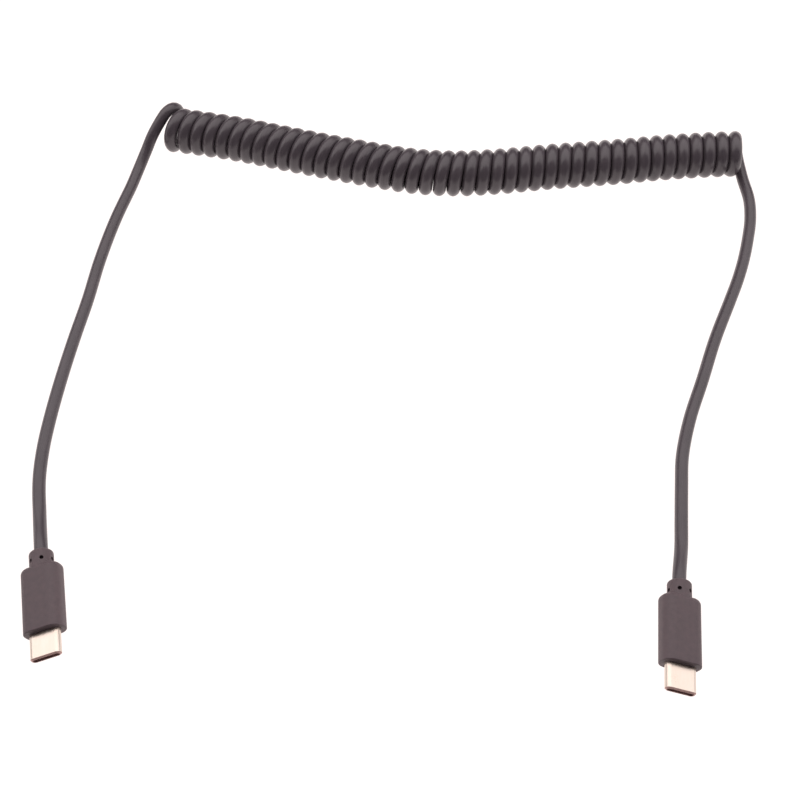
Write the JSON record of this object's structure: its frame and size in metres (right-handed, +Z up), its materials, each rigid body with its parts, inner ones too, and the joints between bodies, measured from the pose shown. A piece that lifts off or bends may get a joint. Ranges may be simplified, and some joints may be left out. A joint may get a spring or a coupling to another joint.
{
  "type": "coiled charging cable",
  "caption": "Dark cord with a tightly curled middle and straight legs, ending in rounded moulded plugs with flat polished metal noses, lying on a level surface.",
  "frame": {"origin": "centre of the whole cable's outline, on the level surface that it lies on", "axes": "+X along the curly part, from the left plug's side to the right plug's side; the plugs point roughly to -Y; +Z up"},
  "size_m": [0.2052, 0.1884, 0.0138],
  "materials": {
    "cord_coil": "matte",
    "cord_leg_left": "matte",
    "cord_leg_right": "matte",
    "plug_left_body": "matte",
    "plug_left_shell": "polished",
    "plug_left_liner": "satin",
    "plug_right_body": "matte",
    "plug_right_shell": "polished",
    "plug_right_liner": "satin"
  },
  "bodies": {
    "root": {"cord_coil": "cord_coil", "cord_leg_left": "cord_leg_left", "cord_leg_right": "cord_leg_right", "plug_left_body": "plug_left_body", "plug_left_shell": "plug_left_shell", "plug_left_liner": "plug_left_liner", "plug_right_body": "plug_right_body", "plug_right_shell": "plug_right_shell", "plug_right_liner": "plug_right_liner"}
  },
  "joints": []
}
